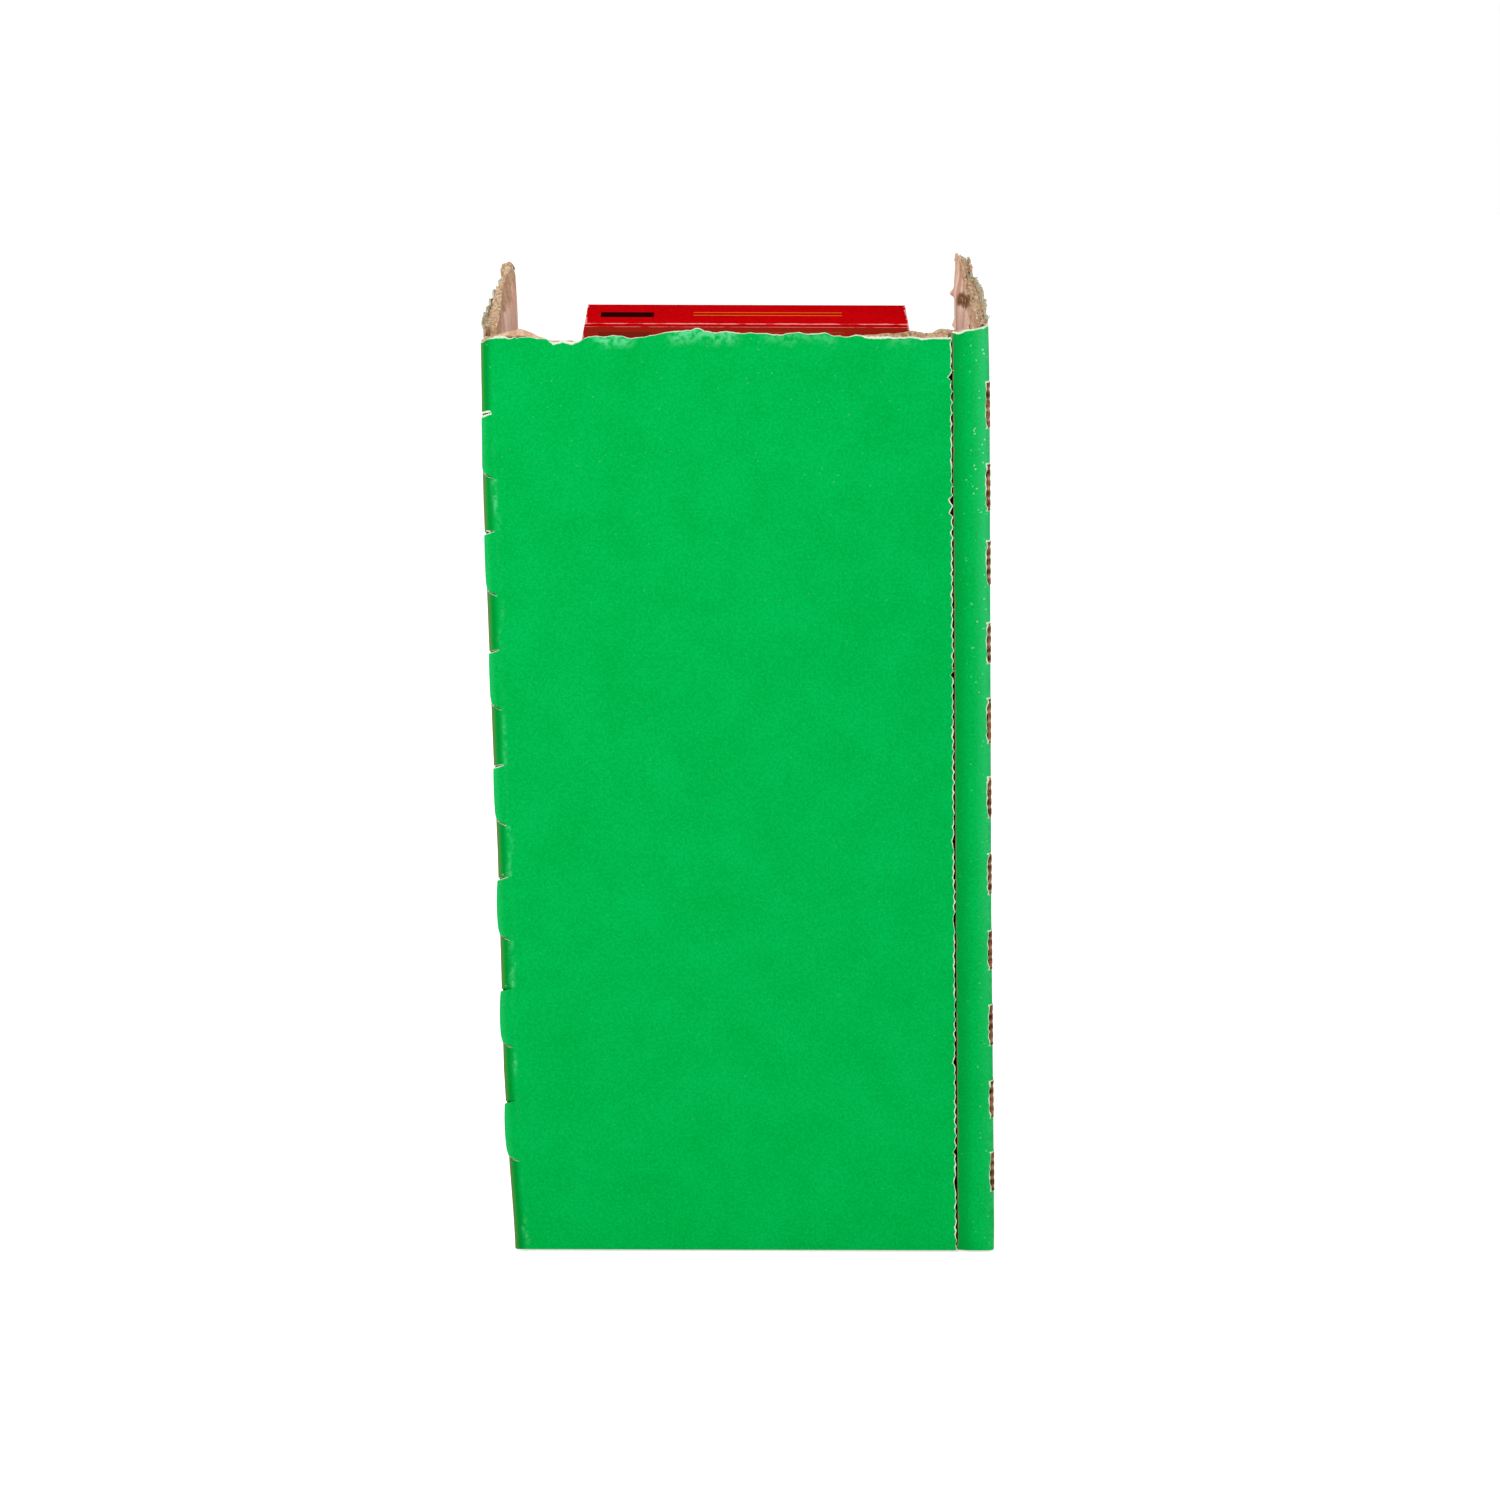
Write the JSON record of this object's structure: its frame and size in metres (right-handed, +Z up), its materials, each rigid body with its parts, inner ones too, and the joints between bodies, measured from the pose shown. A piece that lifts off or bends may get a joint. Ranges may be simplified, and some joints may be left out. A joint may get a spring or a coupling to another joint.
{
  "type": "shelf carton of boxed tape rolls",
  "caption": "Tall green corrugated shelf carton, torn open at the top and at its far side, holding red tuck-lid cartons with a wound tape roll in each.",
  "frame": {"origin": "below the middle of the leaning carton's box, on the surface it stands on", "axes": "+Z up, +Y out of the open customer side, -Y out of the closed rear panel, +X to the seam side"},
  "size_m": [0.0942, 0.071, 0.177],
  "materials": {
    "green_print": "matte printed liner",
    "kraft_liner": "raw kraft",
    "kraft_fluting": "raw kraft",
    "red_paperboard": "coated print",
    "tape_film": "wound film",
    "core_board": "raw grey board"
  },
  "bodies": {
    "shelf_carton": {"rear_panel_printed_liner": "green_print", "rear_panel_fluting": "kraft_fluting", "rear_panel_inner_liner": "kraft_liner", "left_wall_printed_liner": "green_print", "left_wall_fluting": "kraft_fluting", "left_wall_inner_liner": "kraft_liner", "right_wall_printed_liner": "green_print", "right_wall_fluting": "kraft_fluting", "right_wall_inner_liner": "kraft_liner", "seam_strip_printed_liner": "green_print", "seam_strip_fluting": "kraft_fluting", "seam_strip_inner_liner": "kraft_liner", "base_panel_printed_liner": "green_print", "base_panel_fluting": "kraft_fluting", "base_panel_inner_liner": "kraft_liner", "glue_tab": "kraft_liner", "left_glue_flap": "kraft_liner", "right_glue_flap": "kraft_liner"},
    "flat_carton_1": {"flat_carton_1_sleeve": "red_paperboard", "flat_carton_1_tape": "tape_film", "flat_carton_1_core": "core_board"},
    "flat_carton_1_lid": {"flat_carton_1_lid": "red_paperboard"},
    "flat_carton_2": {"flat_carton_2_sleeve": "red_paperboard", "flat_carton_2_tape": "tape_film", "flat_carton_2_core": "core_board"},
    "flat_carton_2_lid": {"flat_carton_2_lid": "red_paperboard"},
    "flat_carton_3": {"flat_carton_3_sleeve": "red_paperboard", "flat_carton_3_tape": "tape_film", "flat_carton_3_core": "core_board"},
    "flat_carton_3_lid": {"flat_carton_3_lid": "red_paperboard"},
    "flat_carton_4": {"flat_carton_4_sleeve": "red_paperboard", "flat_carton_4_tape": "tape_film", "flat_carton_4_core": "core_board"},
    "flat_carton_4_lid": {"flat_carton_4_lid": "red_paperboard"},
    "flat_carton_5": {"flat_carton_5_sleeve": "red_paperboard", "flat_carton_5_tape": "tape_film", "flat_carton_5_core": "core_board"},
    "flat_carton_5_lid": {"flat_carton_5_lid": "red_paperboard"},
    "standing_carton_1": {"standing_carton_1_sleeve": "red_paperboard", "standing_carton_1_tape": "tape_film", "standing_carton_1_core": "core_board"},
    "standing_carton_1_lid": {"standing_carton_1_lid": "red_paperboard"},
    "standing_carton_2": {"standing_carton_2_sleeve": "red_paperboard", "standing_carton_2_tape": "tape_film", "standing_carton_2_core": "core_board"},
    "standing_carton_2_lid": {"standing_carton_2_lid": "red_paperboard"},
    "standing_carton_3": {"standing_carton_3_sleeve": "red_paperboard", "standing_carton_3_tape": "tape_film", "standing_carton_3_core": "core_board"},
    "standing_carton_3_lid": {"standing_carton_3_lid": "red_paperboard"}
  },
  "joints": [
    {"name": "flat_carton_1_pull", "type": "slide", "parent": "shelf_carton", "child": "flat_carton_1", "axis": [0, 1, 0], "range_m": [0, 0.075]},
    {"name": "flat_carton_1_lid_hinge", "type": "hinge", "parent": "flat_carton_1", "child": "flat_carton_1_lid", "pos_m": [0.00018, 0.0285, 0.0235], "axis": [1, 0, 0], "range_deg": [0, 90]},
    {"name": "flat_carton_2_pull", "type": "slide", "parent": "shelf_carton", "child": "flat_carton_2", "axis": [0, 1, 0], "range_m": [0, 0.075]},
    {"name": "flat_carton_2_lid_hinge", "type": "hinge", "parent": "flat_carton_2", "child": "flat_carton_2_lid", "pos_m": [0.00018, 0.0285, 0.0442], "axis": [1, 0, 0], "range_deg": [0, 90]},
    {"name": "flat_carton_3_pull", "type": "slide", "parent": "shelf_carton", "child": "flat_carton_3", "axis": [0, 1, 0], "range_m": [0, 0.075]},
    {"name": "flat_carton_3_lid_hinge", "type": "hinge", "parent": "flat_carton_3", "child": "flat_carton_3_lid", "pos_m": [0.00018, 0.0285, 0.0649], "axis": [1, 0, 0], "range_deg": [0, 90]},
    {"name": "flat_carton_4_pull", "type": "slide", "parent": "shelf_carton", "child": "flat_carton_4", "axis": [0, 1, 0], "range_m": [0, 0.075]},
    {"name": "flat_carton_4_lid_hinge", "type": "hinge", "parent": "flat_carton_4", "child": "flat_carton_4_lid", "pos_m": [0.00018, 0.0285, 0.0856], "axis": [1, 0, 0], "range_deg": [0, 90]},
    {"name": "flat_carton_5_pull", "type": "slide", "parent": "shelf_carton", "child": "flat_carton_5", "axis": [0, 1, 0], "range_m": [0, 0.075]},
    {"name": "flat_carton_5_lid_hinge", "type": "hinge", "parent": "flat_carton_5", "child": "flat_carton_5_lid", "pos_m": [0.00018, 0.0285, 0.1063], "axis": [1, 0, 0], "range_deg": [0, 90]},
    {"name": "standing_carton_1_lift", "type": "slide", "parent": "shelf_carton", "child": "standing_carton_1", "axis": [0, 0, 1], "range_m": [0, 0.075]},
    {"name": "standing_carton_1_lid_hinge", "type": "hinge", "parent": "standing_carton_1", "child": "standing_carton_1_lid", "pos_m": [0.00018, -0.0117, 0.1672], "axis": [-1, 0, 0], "range_deg": [0, 110]},
    {"name": "standing_carton_2_lift", "type": "slide", "parent": "shelf_carton", "child": "standing_carton_2", "axis": [0, 0, 1], "range_m": [0, 0.075]},
    {"name": "standing_carton_2_lid_hinge", "type": "hinge", "parent": "standing_carton_2", "child": "standing_carton_2_lid", "pos_m": [0.00018, 0.009, 0.1672], "axis": [-1, 0, 0], "range_deg": [0, 110]},
    {"name": "standing_carton_3_lift", "type": "slide", "parent": "shelf_carton", "child": "standing_carton_3", "axis": [0, 0, 1], "range_m": [0, 0.075]},
    {"name": "standing_carton_3_lid_hinge", "type": "hinge", "parent": "standing_carton_3", "child": "standing_carton_3_lid", "pos_m": [0.00018, 0.0297, 0.1672], "axis": [-1, 0, 0], "range_deg": [0, 110]}
  ]
}
